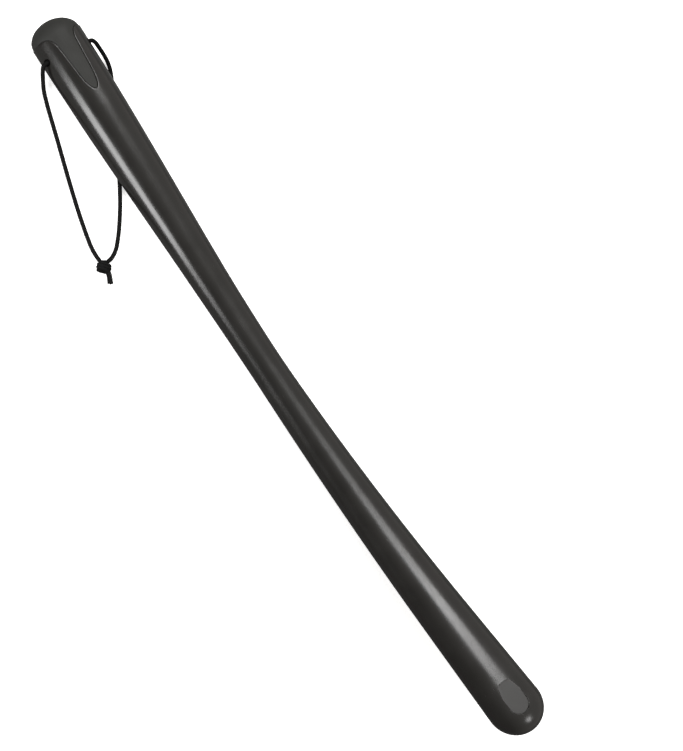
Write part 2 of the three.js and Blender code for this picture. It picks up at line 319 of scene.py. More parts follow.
EAR_ROUND = 0.0008            # rounding of the plastic's raised edge beside the cap
POCKET_DEPTH = 0.0016
POCKET_WALL = 0.00006         # the pocket's wall leans this much
CAP_SINK = 0.00038            # the cap's surface lies this far below the plastic's at its edge
CAP_RISE = 0.006              # and rises over this distance from the edge
CAP_RISE_SHARE = 0.9          # by this share of CAP_SINK
CAP_LIP = 0.00035             # rounding of the cap's own edge
CAP_SEAM = 0.00010            # open line between cap and plastic
CAP_FLOOR_GAP = 0.00005       # between the cap's underside and the pocket's floor
THUMB_X = -0.268              # middle of the dip for the thumb
THUMB_LENGTH = 0.024
THUMB_WIDTH = 0.0065
THUMB_DIP = 0.0006
SCOOP_WALL = 0.0004           # the scoop's wall leans this much
SCOOP_BLEND = 0.00006         # rounding between the scoop's floor and the back
NUB_MARGIN = 0.0025           # the inner side sinks under the scoop this far past it
NUB_BLEND = 0.00025
QUARTER_TURNS = np.radians([0, 15, 30, 45, 60, 75, 90])


def rounding(distance, radius):
    """Depth of a quarter-round edge at a distance in from where it would have been sharp."""
    in_share = np.clip(1 - distance / radius, 0, 1)
    return radius * (1 - np.sqrt(1 - in_share ** 2))


def pocket_depth(x, y):
    """How far the plastic sinks: a rounded edge round the cap, and the pocket under it."""
    away = from_cap(x, y)
    fall = np.clip(-away / POCKET_WALL, 0, 1)
    in_pocket = EAR_ROUND + (POCKET_DEPTH - EAR_ROUND) * fall
    return np.where(away > 0, rounding(away, EAR_ROUND), in_pocket)


def cap_depth(x, y):
    """How far the cap's surface lies below the plain back."""
    inside = -from_cap(x, y) - CAP_SEAM
    sink = CAP_SINK * (1 - smooth(inside / CAP_RISE) * CAP_RISE_SHARE)
    dip_share = ((x - THUMB_X) / THUMB_LENGTH) ** 2 + (y / THUMB_WIDTH) ** 2
    dip = THUMB_DIP * np.clip(1 - dip_share, 0, 1) ** 2
    return sink + dip + rounding(inside, CAP_LIP)


def scoop_floor(x):
    """Height of the scoop's floor, which is flat and slopes from one end to the other."""
    start = edge_height(SCOOP_START_X) + depth(SCOOP_START_X) - SCOOP_START_DEPTH
    end_turn = (SCOOP_END_X - SHAFT_END) / TIP_ROUND
    end = edge_height(SCOOP_END_X) + depth(SCOOP_END_X) * math.sqrt(1 - end_turn ** 2)
    share = (x - SCOOP_START_X) / (SCOOP_END_X - SCOOP_START_X)
    return start + (end - SCOOP_END_DEPTH - start) * share


def soft_positive(value, blend):
    """The value where it is above 0 and nearly 0 below, with a rounded bend between."""
    return (value + np.sqrt(value ** 2 + blend ** 2)) / 2


def scoop_drop(points):
    """How far the back sinks to the scoop's floor."""
    over = points[:, 2] - scoop_floor(points[:, 0])
    inside = -from_scoop(points[:, 0], points[:, 1])
    return soft_positive(over, SCOOP_BLEND) * smooth(inside / SCOOP_WALL)


def nub_drop(points):
    """How far the inner side sinks, to keep the wall whole under the scoop."""
    over = points[:, 2] - scoop_floor(points[:, 0]) + TIP_WALL
    inside = NUB_MARGIN - from_scoop(points[:, 0], points[:, 1])
    return soft_positive(over, NUB_BLEND) * smooth(inside / NUB_MARGIN)


def body_place(s, c):
    points, share, on_inside = ring_place(s, c)
    x, y = points[:, 0], points[:, 1]
    near_cap = x < CAP_WALL_END
    near_scoop = x > TIP_WALL_END - NUB_MARGIN
    sink = np.zeros(len(x))
    sink[near_cap] = pocket_depth(x[near_cap], y[near_cap]) * share[near_cap]
    drop = np.zeros(len(x))
    outside = near_scoop & ~on_inside
    drop[outside] = scoop_drop(points[outside]) * share[outside]
    within = near_scoop & on_inside
    drop[within] = nub_drop(points[within])
    points -= back_normal(points) * sink[:, None]
    points[:, 2] -= drop
    return points


def cap_place(s, c):
    points, share, _ = ring_place(s, c)
    x, y = points[:, 0], points[:, 1]
    points -= back_normal(points) * (cap_depth(x, y) * share)[:, None]
    return points


# ------------------------------------------------------------------ meshes that follow lines

HALVINGS = 14                 # each one halves how far a new point may be from its line
WELD = 1e-6                   # points closer than this become one


def split_face(face, above, cuts):
    """The two parts of a face that a line crosses, cuts being the new points on its sides."""
    parts = {True: [], False: []}
    for i, j in zip(face, face[1:] + face[:1]):
        parts[bool(above[i])].append(i)
        if above[i] != above[j]:
            cut = cuts[(min(i, j), max(i, j))]
            parts[True].append(cut)
            parts[False].append(cut)
    return [part for part in parts.values() if len(part) > 2]


class Net:
    """Faces over points given as (s, c), so that new points can be put exactly on a line."""

    def __init__(self, stations, columns, closed):
        self.s = np.repeat(stations, len(columns))
        self.c = np.tile(columns, len(stations))
        count = len(columns)
        across = count if closed else count - 1
        self.faces = []
        for row in range(len(stations) - 1):
            for column in range(across):
                a = row * count + column
                b = row * count + (column + 1) % count
                self.faces.append([a, b, b + count, a + count])

    def follow(self, field, level=0.0):
        """Splits the faces along field(s, c) == level."""
        above = field(self.s, self.c) - level > 0
        kept, crossing = [], []
        for face in self.faces:
            if 0 < sum(above[i] for i in face) < len(face):
                crossing.append(face)
            else:
                kept.append(face)
        cuts = {}
        for face in crossing:
            for i, j in zip(face, face[1:] + face[:1]):
                if above[i] != above[j]:
                    cuts.setdefault((min(i, j), max(i, j)), len(self.s) + len(cuts))
        if not cuts:
            return
        self.add_points(np.array(list(cuts)), above, field, level)
        for face in crossing:
            kept.extend(split_face(face, above, cuts))
        self.faces = kept

    def add_points(self, ends, above, field, level):
        """Adds the point where the line crosses each side, a side being given by its ends."""
        s0, s1 = self.s[ends[:, 0]], self.s[ends[:, 1]]
        c0, c1 = self.c[ends[:, 0]], self.c[ends[:, 1]]
        c1 = c1 + RING_SPAN * np.round((c0 - c1) / RING_SPAN)
        low, high = np.zeros(len(ends)), np.ones(len(ends))
        low_above = above[ends[:, 0]]
        for _ in range(HALVINGS):
            middle = (low + high) / 2
            value = field(s0 + (s1 - s0) * middle, c0 + (c1 - c0) * middle) - level
            same = (value > 0) == low_above
            low = np.where(same, middle, low)
            high = np.where(same, high, middle)
        share = (low + high) / 2
        self.s = np.append(self.s, s0 + (s1 - s0) * share)
        self.c = np.append(self.c, c0 + (c1 - c0) * share)

    def drop(self, field):
        """Deletes the faces where field(s, c) is below 0."""
        values = field(self.s, self.c)
        self.faces = [face for face in self.faces if sum(values[i] for i in face) > 0]


def open_loops(faces):
    """The loops of points round the openings of a mesh, in order."""
    after = {}
    used = set()
    for face in faces:
        for i, j in zip(face, face[1:] + face[:1]):
            used.add((i, j))
    for i, j in used:
        if (j, i) not in used:
            after[j] = i
    loops = []
    while after:
        start, following = after.popitem()
        loop = [start]
        while following != start:
            loop.append(following)
            following = after.pop(following)
        loops.append(loop)
    return loops


def make_object(name, points, faces, material):
    mesh = bpy.data.meshes.new(name)
    mesh.from_pydata([tuple(point) for point in points], [], faces)
    work = bmesh.new()
    work.from_mesh(mesh)
    loose = [vertex for vertex in work.verts if not vertex.link_faces]
    bmesh.ops.delete(work, geom=loose, context="VERTS")
    bmesh.ops.remove_doubles(work, verts=work.verts, dist=WELD)
    bmesh.ops.dissolve_degenerate(work, edges=work.edges, dist=WELD / 10)
    bmesh.ops.recalc_face_normals(work, faces=work.faces)
    for face in work.faces:
        face.smooth = True
    work.to_mesh(mesh)
    work.free()
    mesh.materials.append(material)
    piece = bpy.data.objects.new(name, mesh)
    bpy.context.scene.collection.objects.link(piece)
    return piece


# ------------------------------------------------------------------ materials

# Noise scales are features in a metre, and a bump is its height and its strength.

NOISE_LOW = 0.3               # most values of a noise lie between these two
NOISE_HIGH = 0.7

PLASTIC_DARK = (0.0078, 0.0073, 0.0067)
PLASTIC_LIGHT = (0.0104, 0.0097, 0.0089)
PLASTIC_SPECULAR = 0.42
PLASTIC_ROUGHNESS = (0.19, 0.24)
PLASTIC_CLOUDS = 60
PLASTIC_GRAIN = 2600
GRAIN_BUMP = (0.00002, 0.7)
PLASTIC_WAVES = 140
WAVE_BUMP = (0.00004, 0.25)
RUB_LINES = 900
RUB_STRETCH = (0.03, 1, 1)    # the rubbing runs along X
RUB_LOW = 0.5
RUB_HIGH = 0.75
RUB_ROUGHNESS = 0.05
SCOOP_DULLNESS = 0.15         # how much rougher the scoop's floor is

GRIP_DARK = (0.0160, 0.0164, 0.0152)
GRIP_LIGHT = (0.0200, 0.0204, 0.0190)
GRIP_SPECULAR = 0.3
GRIP_ROUGHNESS = (0.58, 0.70)
GRIP_MARKS = 90
GRIP_PEBBLES = 2400
PEBBLE_BUMP = (0.00006, 0.8)

CORD_DARK = (0.0012, 0.0012, 0.0013)
CORD_LIGHT = (0.0035, 0.0035, 0.0037)
CORD_SPECULAR = 0.12
CORD_ROUGHNESS = (0.6, 0.85)
CORD_WEAR = 320
CORD_FILAMENTS = 7000
FILAMENT_BUMP = (0.00005, 0.7)


def start_material(name, specular):
    """A material with its nodes, links, shader and a texture coordinate in metres."""
    material = bpy.data.materials.new(name)
    material.use_nodes = True
    nodes = material.node_tree.nodes
    shader = nodes["Principled BSDF"]
    shader.inputs["Specular IOR Level"].default_value = specular
    coordinates = nodes.new("ShaderNodeTexCoord").outputs["Object"]
    return material, nodes, material.node_tree.links, shader, coordinates


def noise(nodes, links, coordinates, scale, detail, stretch=(1, 1, 1)):
    """Fractal noise with about `scale` features in a metre. Less than 1 in stretch draws its
    features out along that axis."""
    mapping = nodes.new("ShaderNodeMapping")
    mapping.inputs["Scale"].default_value = stretch
    texture = nodes.new("ShaderNodeTexNoise")
    texture.inputs["Scale"].default_value = scale
    texture.inputs["Detail"].default_value = detail
    links.new(coordinates, mapping.inputs["Vector"])
    links.new(mapping.outputs["Vector"], texture.inputs["Vector"])
    return texture.outputs["Fac"]


def remap(nodes, links, value, low, high, start=NOISE_LOW, end=NOISE_HIGH):
    """The value's range from start to end, brought to the range from low to high."""
    node = nodes.new("ShaderNodeMapRange")
    node.inputs["From Min"].default_value = start
    node.inputs["From Max"].default_value = end
    node.inputs["To Min"].default_value = low
    node.inputs["To Max"].default_value = high
    links.new(value, node.inputs["Value"])
    return node.outputs["Result"]


def tint(nodes, links, value, low, high):
    """A colour between low and high."""
    ramp = nodes.new("ShaderNodeValToRGB")
    ramp.color_ramp.elements[0].position = NOISE_LOW
    ramp.color_ramp.elements[0].color = (*low, 1)
    ramp.color_ramp.elements[1].position = NOISE_HIGH
    ramp.color_ramp.elements[1].color = (*high, 1)
    links.new(value, ramp.inputs["Fac"])
    return ramp.outputs["Color"]


def add_bump(nodes, links, shader, value, height, strength):
    """Raises the surface by `value` times height, on top of any bump already there."""
    bump = nodes.new("ShaderNodeBump")
    bump.inputs["Distance"].default_value = height
    bump.inputs["Strength"].default_value = strength
    earlier = shader.inputs["Normal"].links
    if earlier:
        links.new(earlier[0].from_socket, bump.inputs["Normal"])
    links.new(value, bump.inputs["Height"])
    links.new(bump.outputs["Normal"], shader.inputs["Normal"])


def hard_plastic():
    """Black moulded plastic, glossy, with moulding grain, faint waves and lengthwise rubbing.
    The scoop's floor is duller, where the mesh's "matt" attribute is 1."""
    material, nodes, links, shader, coordinates = start_material("hard_plastic", PLASTIC_SPECULAR)
    clouds = noise(nodes, links, coordinates, PLASTIC_CLOUDS, detail=5)
    grain = noise(nodes, links, coordinates, PLASTIC_GRAIN, detail=3)
    rubbing = noise(nodes, links, coordinates, RUB_LINES, detail=4, stretch=RUB_STRETCH)
    waves = noise(nodes, links, coordinates, PLASTIC_WAVES, detail=2)
    colour = tint(nodes, links, clouds, PLASTIC_DARK, PLASTIC_LIGHT)
    links.new(colour, shader.inputs["Base Color"])
    rubbed = remap(nodes, links, rubbing, 0, RUB_ROUGHNESS, RUB_LOW, RUB_HIGH)
    mixed = nodes.new("ShaderNodeMath")
    mixed.operation = "ADD"
    links.new(remap(nodes, links, clouds, *PLASTIC_ROUGHNESS), mixed.inputs[0])
    links.new(rubbed, mixed.inputs[1])
    matt = nodes.new("ShaderNodeAttribute")
    matt.attribute_name = "matt"
    duller = nodes.new("ShaderNodeMath")
    duller.operation = "MULTIPLY_ADD"
    duller.inputs[1].default_value = SCOOP_DULLNESS
    links.new(matt.outputs["Fac"], duller.inputs[0])
    links.new(mixed.outputs["Value"], duller.inputs[2])
    links.new(duller.outputs["Value"], shader.inputs["Roughness"])
    add_bump(nodes, links, shader, grain, *GRAIN_BUMP)
    add_bump(nodes, links, shader, waves, *WAVE_BUMP)
    return material


def soft_grip():
    """Dull soft-touch rubber, faintly green, with a fine pebbled skin and handling marks."""
    material, nodes, links, shader, coordinates = start_material("soft_grip", GRIP_SPECULAR)
    handling = noise(nodes, links, coordinates, GRIP_MARKS, detail=6)
    pebbles = nodes.new("ShaderNodeTexVoronoi")
    pebbles.inputs["Scale"].default_value = GRIP_PEBBLES
    links.new(coordinates, pebbles.inputs["Vector"])
    links.new(tint(nodes, links, handling, GRIP_DARK, GRIP_LIGHT), shader.inputs["Base Color"])
    links.new(remap(nodes, links, handling, *GRIP_ROUGHNESS), shader.inputs["Roughness"])
    add_bump(nodes, links, shader, pebbles.outputs["Distance"], *PEBBLE_BUMP)
    return material


def cord_fibre():
    """Black braided polyester: fine filaments, a little less black in the worn places."""
    material, nodes, links, shader, coordinates = start_material("cord_fibre", CORD_SPECULAR)
    worn = noise(nodes, links, coordinates, CORD_WEAR, detail=5)
    filaments = noise(nodes, links, coordinates, CORD_FILAMENTS, detail=3)
    links.new(tint(nodes, links, worn, CORD_DARK, CORD_LIGHT), shader.inputs["Base Color"])
    links.new(remap(nodes, links, worn, *CORD_ROUGHNESS), shader.inputs["Roughness"])
    add_bump(nodes, links, shader, filaments, *FILAMENT_BUMP)
    return material


PLASTIC = hard_plastic()
GRIP = soft_grip()
FIBRE = cord_fibre()


# ------------------------------------------------------------------ hanging cord and knot

HOLE_Z = float(edge_height(np.array(HOLE_X))) + HOLE_HEIGHT

# The middle of the cord, from the knot along the table to the right flank's hole, through the
# head and out of the left flank's hole, then under the channel and back to the knot.
CORD_ROUTE = [
    (-0.1353, -0.0609, 0.0024), (-0.1395, -0.0609, 0.0018), (-0.1460, -0.0604, CORD_LIES),
    (-0.1534, -0.0589, CORD_LIES), (-0.1667, -0.0556, CORD_LIES), (-0.1813, -0.0515, CORD_LIES),
    (-0.1955, -0.0472, CORD_LIES), (-0.2099, -0.0427, CORD_LIES), (-0.2243, -0.0381, CORD_LIES),
    (-0.2386, -0.0337, CORD_LIES), (-0.2464, -0.0313, CORD_LIES), (-0.2533, -0.0290, 0.0019),
    (-0.2586, -0.0273, 0.0031), (-0.2628, -0.0256, 0.0054), (-0.2662, -0.0242, 0.0084),
    (-0.2692, -0.0229, 0.0116), (-0.2719, -0.0207, 0.0139), (-0.2725, -0.0165, HOLE_Z),
    (-0.2722, 0.0000, HOLE_Z - 0.0005), (-0.2723, 0.0165, HOLE_Z - 0.0003),
    (-0.2720, 0.0199, HOLE_Z - 0.0008), (-0.2700, 0.0221, 0.0118), (-0.2670, 0.0231, 0.0097),
    (-0.2634, 0.0239, 0.0077), (-0.2599, 0.0245, 0.0058), (-0.2560, 0.0248, 0.0039),
    (-0.2518, 0.0243, 0.0024), (-0.2468, 0.0226, CORD_LIES), (-0.2405, 0.0193, CORD_LIES),
    (-0.2280, 0.0126, CORD_LIES), (-0.2140, 0.0049, CORD_LIES), (-0.2000, -0.0029, CORD_LIES),
    (-0.1870, -0.0104, CORD_LIES), (-0.1740, -0.0180, CORD_LIES), (-0.1627, -0.0251, CORD_LIES),
    (-0.1522, -0.0325, CORD_LIES), (-0.1431, -0.0397, CORD_LIES), (-0.1363, -0.0462, 0.0017),
    (-0.1326, -0.0523, 0.0020), (-0.1316, -0.0567, 0.0024),
]
HOLE_POINT = 17               # the route's point in the right flank's hole
KNOT_PASS = (-0.1324, -0.0600, 0.0028)          # where the loop turns inside the knot

STRANDS = 6                   # braid strands that run each way round the cord
BRAID_PITCH = 0.0062
BRAID_DEPTH = 0.00018
STRAND_CROWN = 0.55           # share of its height that a strand keeps where another crosses it
CORD_STEP = 0.0002
CORD_COLUMNS = 42
SPLINE_STEPS = 32             # between two points of a route

KNOT_CENTRE = np.array((-0.1294, -0.0612, 0.0032))
KNOT_TURN = 0.7               # of its long way from +X, in radians
WRAP_REACH = 0.0040           # from the knot's axis to the middle of the wrapped cord
WRAP_HEIGHT = 0.00195
WRAP_PITCH = 0.0020
WRAPS = 3.0
WRAP_START = -0.25            # of a turn, from straight up
WRAP_POINTS = 34
KNOT_MIDDLE = 1.05            # the middle wraps stand out and the end ones are drawn in
KNOT_TAPER = 0.25

# Each of the two cut ends comes out of the knot at its start and is cut at its end.
TAIL_STARTS = ((-0.1248, -0.0602, 0.0038), (-0.1258, -0.0608, 0.0020))
TAIL_ENDS = ((-0.1167, -0.0634, 0.0041), (-0.1180, -0.0636, CORD_LIES))
TAIL_FLARES = (0.10, 0.14)    # shares by which the cut ends swell
KNOT_STRAND = 0.0027          # the cord is squeezed thinner inside the knot


def unit(vectors):
    return vectors / np.linalg.norm(vectors, axis=-1, keepdims=True)


def run_along(curve):
    """How far along the curve each of its points is."""
    lengths = np.linalg.norm(np.diff(curve, axis=0), axis=1)
    return np.concatenate([[0], np.cumsum(lengths)])


def spline(points, step):
    """A centripetal Catmull-Rom curve through the points, in equal steps of about `step`."""
    points = np.array(points, dtype=float)
    before = 2 * points[0] - points[1]
    after = 2 * points[-1] - points[-2]
    points = np.concatenate([[before], points, [after]])
    curve = []
    for a, b, c, d in zip(points, points[1:], points[2:], points[3:]):
        tb = np.linalg.norm(b - a) ** 0.5
        tc = tb + np.linalg.norm(c - b) ** 0.5
        td = tc + np.linalg.norm(d - c) ** 0.5
        t = np.linspace(tb, tc, SPLINE_STEPS, endpoint=False)[:, None]
        ab = a + (b - a) * t / tb
        bc = b + (c - b) * (t - tb) / (tc - tb)
        cd = c + (d - c) * (t - tc) / (td - tc)
        abc = ab + (bc - ab) * t / tc
        bcd = bc + (cd - bc) * (t - tb) / (td - tb)
        curve.append(abc + (bcd - abc) * (t - tb) / (tc - tb))
    curve = np.concatenate(curve + [points[-2:-1]])
    run = run_along(curve)
    marks = np.linspace(0, run[-1], int(run[-1] / step) + 2)
    return np.stack([np.interp(marks, run, curve[:, axis]) for axis in range(3)], -1)


def carried_sides(path):
    """Two directions across the path at each point, carried along it without twisting."""
    ahead = unit(np.gradient(path, axis=0))
    side = np.cross(ahead[0], (0.0, 0.0, 1.0))
    sides = []
    for direction in ahead:
        side = side - direction * (side @ direction)
        side = side / np.linalg.norm(side)
        sides.append(side)
    sides = np.array(sides)
    return sides, np.cross(ahead, sides)


def braid_radii(run, turn, radius, flare):
    """The cord's radius at each place along it and round it, its strands crossing in turn."""
    one_way = STRANDS * (turn[None, :] + run[:, None] / BRAID_PITCH)
    other_way = STRANDS * (turn[None, :] - run[:, None] / BRAID_PITCH)
    on_top = (np.round(one_way) + np.round(other_way)) % 2 > 0
    off_one = one_way - np.round(one_way)
    off_other = other_way - np.round(other_way)
    across = np.cos(np.pi * np.where(on_top, off_one, off_other))
    along = np.cos(np.pi * np.where(on_top, off_other, off_one))
    crown = across * (STRAND_CROWN + (1 - STRAND_CROWN) * along)
    swell = flare * np.clip(1 - (run[-1] - run) / MM, 0, 1) ** 2
    crest = radius + BRAID_DEPTH / 2
    return crest * (1 + swell)[:, None] - BRAID_DEPTH * (1 - crown)


def tube_faces(rings):
    """Faces round a tube of rings and fans over its ends, whose middles are two last points."""
    faces = []
    for ring in range(rings - 1):
        for column in range(CORD_COLUMNS):
            a = ring * CORD_COLUMNS + column
            b = ring * CORD_COLUMNS + (column + 1) % CORD_COLUMNS
            faces.append([a, b, b + CORD_COLUMNS, a + CORD_COLUMNS])
    first = rings * CORD_COLUMNS
    last = first + 1
    last_ring = first - CORD_COLUMNS
    for column in range(CORD_COLUMNS):
        after = (column + 1) % CORD_COLUMNS
        faces.append([first, after, column])
        faces.append([last, last_ring + column, last_ring + after])
    return faces


def braided_tube(path, radius, flare=0.0):
    """A braided cord along a path, with its ends closed. flare swells its last millimetre."""
    sides, others = carried_sides(path)
    turn = np.arange(CORD_COLUMNS) / CORD_COLUMNS
    angle = 2 * np.pi * turn
    radii = braid_radii(run_along(path), turn, radius, flare)
    points = path[:, None, :] + radii[:, :, None] * (
        np.cos(angle)[None, :, None] * sides[:, None, :]
        + np.sin(angle)[None, :, None] * others[:, None, :])
    points = np.concatenate([points.reshape(-1, 3), path[:1], path[-1:]])
    return points, tube_faces(len(path))


def make_cord():
    points, faces = braided_tube(spline(CORD_ROUTE, CORD_STEP), CORD_DIAMETER / 2)
    return make_object("hanging_cord_braid", points, faces, FIBRE)


def knot_paths():
    """The straight strand of the knot and the one wrapped round it, each ending in a tail."""
    long_way = np.array((math.cos(KNOT_TURN), math.sin(KNOT_TURN), 0.0))
    axis = np.array((math.sin(KNOT_TURN), -math.cos(KNOT_TURN), 0.0))
    up = np.array((0.0, 0.0, 1.0))
    straight = [CORD_ROUTE[0], tuple(KNOT_CENTRE), TAIL_STARTS[0], TAIL_ENDS[0]]
    turns = np.linspace(WRAP_START, WRAPS + WRAP_START, WRAP_POINTS) * 2 * np.pi
    offsets = (turns / (2 * np.pi) - WRAPS / 2 - WRAP_START) * WRAP_PITCH
    swell = KNOT_MIDDLE - KNOT_TAPER * (offsets / (WRAP_PITCH * WRAPS / 2)) ** 2
    rounds = [KNOT_CENTRE + axis * offset
              + long_way * (WRAP_REACH * scale * math.sin(turn))
              + up * (WRAP_HEIGHT * scale * math.cos(turn))
              for turn, offset, scale in zip(turns, offsets, swell)]
    wrapped = [CORD_ROUTE[-1], *(tuple(point) for point in rounds), TAIL_STARTS[1], TAIL_ENDS[1]]
    return straight, wrapped


def make_knot():
    points, faces = np.empty((0, 3)), []
    for route, flare in zip(knot_paths(), TAIL_FLARES):
        strand, strand_faces = braided_tube(spline(route, CORD_STEP), KNOT_STRAND / 2, flare)
        start = len(points)
        faces.extend([i + start for i in face] for face in strand_faces)
        points = np.concatenate([points, strand])
    points[:, 2] = np.maximum(points[:, 2], 0.0)    # the knot rests on the floor
    return make_object("overhand_knot", points, faces, FIBRE)


def cord_line():
    """The loop's middle line, from the hole in the right flank through the knot and back."""
    out = CORD_ROUTE[HOLE_POINT::-1]
    back = CORD_ROUTE[:HOLE_POINT - 1:-1]
    return spline(out + [KNOT_PASS] + back, CORD_STEP)


knot = make_knot()
cord_piece = make_cord()
loop = cord_line()
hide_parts("cord_knot")
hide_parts("hanging_cord")


# ------------------------------------------------------------------ body

# The mesh's stations are finest where the cap, the scoop and the rounded ends need them.
HEAD_STEPS = 18
FINE_STEP = 0.0009
FINE_END = TONGUE_END_X + 0.0035
LONG_STEP = 0.003
SCOOP_STEP = 0.0005
SCOOP_STEPS_START = SCOOP_START_X - 0.005
TIP_STEPS = 44

# Its columns round the section, and those of the rounded lips of the holes.
BACK_COLUMNS = 96
EDGE_COLUMNS = 10
INNER_COLUMNS = 44
LIP_TURNS = QUARTER_TURNS[1:]
LIP_COLUMNS = 60

EDGE_GUARD = 0.00008          # faces this narrow keep the shading of a sharp edge beside it
MATT_REACH = 1.5              # in units of SCOOP_BLEND, how far off its floor it is still dull


def steps(start, end, step):
    """Even steps of about `step` from start to end, without end itself."""
    return np.linspace(start, end, max(2, round((end - start) / step) + 1))[:-1]


def zip_rings(first, first_turns, second, second_turns):
    """Triangles between two rings of points, each in order of its turns."""
    faces = []
    i, j = 0, 0
    while i < len(first) or j < len(second):
        next_i, next_j = (i + 1) % len(first), (j + 1) % len(second)
        turn_i = first_turns[next_i] + 2 * np.pi * ((i + 1) // len(first))
        turn_j = second_turns[next_j] + 2 * np.pi * ((j + 1) // len(second))
        if j >= len(second) or (i < len(first) and turn_i <= turn_j):
            faces.append([first[i % len(first)], first[next_i], second[j % len(second)]])
            i += 1
        else:
            faces.append([first[i % len(first)], second[next_j], second[j % len(second)]])
            j += 1
    return faces


def cap_field(s, c):
    """Signed distance from the cap's edge on the outside, and plastic everywhere else."""
    points, share, _ = ring_place(s, c)
    away = from_cap(points[:, 0], points[:, 1])
    return np.where((share > 0) & (points[:, 0] < CAP_WALL_END), away, 1.0)


def scoop_field(s, c):
    """Signed distance from the scoop's edge on the outside, and above 0 everywhere else."""
    points, _, on_inside = ring_place(s, c)
    away = from_scoop(points[:, 0], points[:, 1])
    return np.where(on_inside | (points[:, 0] < TIP_WALL_END), 1.0, away)


def cut_field(s, c):
    """Height of the back above the scoop's floor, and below 0 outside its outline."""
    points, _, on_inside = ring_place(s, c)
    over = points[:, 2] - scoop_floor(points[:, 0])
    outside = from_scoop(points[:, 0], points[:, 1]) > 0
    return np.where(outside | on_inside | (points[:, 0] < TIP_WALL_END), -1.0, over)


def hole_field(s, c):
    """Distance from the outside of the hole's lip, seen from the side, and below 0 in it."""
    points = body_place(s, c)
    return np.hypot(points[:, 0] - HOLE_X, points[:, 2] - HOLE_Z) - HOLE_RADIUS - HOLE_LIP


def line_hole(points, loops):
    """Rounded lips and a smooth bore between the outer and the inner opening of one hole."""
    points = list(points)
    faces = []
    turns = np.linspace(-np.pi, np.pi, LIP_COLUMNS, endpoint=False)
    last_rings = []
    for loop, inward in loops:
        ring = np.array([points[i] for i in loop])
        ring_turns = np.arctan2(ring[:, 2] - HOLE_Z, ring[:, 0] - HOLE_X)
        order = np.argsort(ring_turns)
        ring_turns = ring_turns[order]
        previous = [loop[i] for i in order]
        previous_turns = ring_turns
        mouth_y = np.interp(turns, ring_turns, ring[order, 1], period=2 * np.pi)
        for lip_turn in LIP_TURNS:
            radius = HOLE_RADIUS + HOLE_LIP * (1 - math.sin(lip_turn))
            y = mouth_y + inward * HOLE_LIP * (1 - math.cos(lip_turn))
            start = len(points)
            points.extend(np.stack([HOLE_X + radius * np.cos(turns), y,
                                    HOLE_Z + radius * np.sin(turns)], -1))
            current = list(range(start, start + LIP_COLUMNS))
            faces.extend(zip_rings(previous, previous_turns, current, turns))
            previous, previous_turns = current, turns
        last_rings.append(previous)
    faces.extend(zip_rings(last_rings[0], turns, last_rings[1], turns))
    return np.array(points), faces


def body_net():
    """The whole shell, with points along every edge that is cut into it."""
    stations = np.concatenate([
        np.linspace(HEAD_END, SHAFT_START, HEAD_STEPS + 1)[:-1],
        steps(SHAFT_START, FINE_END, FINE_STEP),
        steps(FINE_END, SCOOP_STEPS_START, LONG_STEP),
        steps(SCOOP_STEPS_START, SHAFT_END, SCOOP_STEP),
        np.linspace(SHAFT_END, TIP_END, TIP_STEPS + 1)])
    columns = np.concatenate([
        np.linspace(0, BACK_SPAN, BACK_COLUMNS + 1)[:-1],
        BACK_SPAN + np.linspace(0, EDGE_SPAN, EDGE_COLUMNS + 1)[:-1],
        BACK_SPAN + EDGE_SPAN + np.linspace(0, BACK_SPAN, INNER_COLUMNS + 1)[:-1],
        RING_SPAN - np.linspace(EDGE_SPAN, 0, EDGE_COLUMNS + 1)[:-1]])
    net = Net(stations, columns, closed=True)
    for turn in QUARTER_TURNS:
        net.follow(cap_field, EAR_ROUND * (1 - math.sin(turn)))
        net.follow(scoop_field, -SCOOP_WALL * turn / QUARTER_TURNS[-1])
    net.follow(scoop_field, EDGE_GUARD)
    net.follow(scoop_field, -SCOOP_WALL - EDGE_GUARD)
    net.follow(cut_field)
    net.follow(cap_field, -POCKET_WALL)
    net.follow(hole_field)
    net.drop(hole_field)
    return net


def is_mouth(net, loop):
    """Whether a loop of points is the opening of a hole, judged by its first few points."""
    return all(abs(hole_field(net.s[[i]], net.c[[i]])[0]) < HOLE_LIP for i in loop[:3])


def mark_scoop(mesh):
    """Marks the scoop's floor, which is duller than the plastic round it."""
    flat = np.empty(3 * len(mesh.vertices), dtype=np.float32)
    mesh.vertices.foreach_get("co", flat)
    x, y, z = flat.reshape(-1, 3).astype(float).T
    off_floor = np.abs(z - scoop_floor(x))
    inside = np.where(x > TIP_WALL_END, -from_scoop(x, y), -1)
    matt = smooth(inside / SCOOP_WALL) * smooth(MATT_REACH - off_floor / SCOOP_BLEND)
    attribute = mesh.attributes.new("matt", "FLOAT", "POINT")
    attribute.data.foreach_set("value", matt.astype(np.float32))


def make_body():
    net = body_net()
    points = body_place(net.s, net.c)
    faces = net.faces
    mouths = [loop for loop in open_loops(faces) if is_mouth(net, loop)]
    for side in (-1, 1):
        pair = sorted((loop for loop in mouths if points[loop[0]][1] * side > 0),
                      key=lambda loop: -abs(points[loop[0]][1]))
        points, lining = line_hole(points, [(pair[0], -side), (pair[1], side)])
        faces = faces + lining
    piece = make_object("channel_body", points, faces, PLASTIC)
    mark_scoop(piece.data)
    return piece


body = make_body()
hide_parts("shoehorn_body")


# ------------------------------------------------------------------ cap

CAP_RIM = 75 / 180            # how far round the long edge the cap reaches
CAP_RIM_COLUMNS = 6


def on_cap(s, c):
    """Distance in from the cap's edge, and below 0 outside it."""
    points, _, _ = ring_place(s, c)
    return -from_cap(points[:, 0], points[:, 1]) - CAP_SEAM


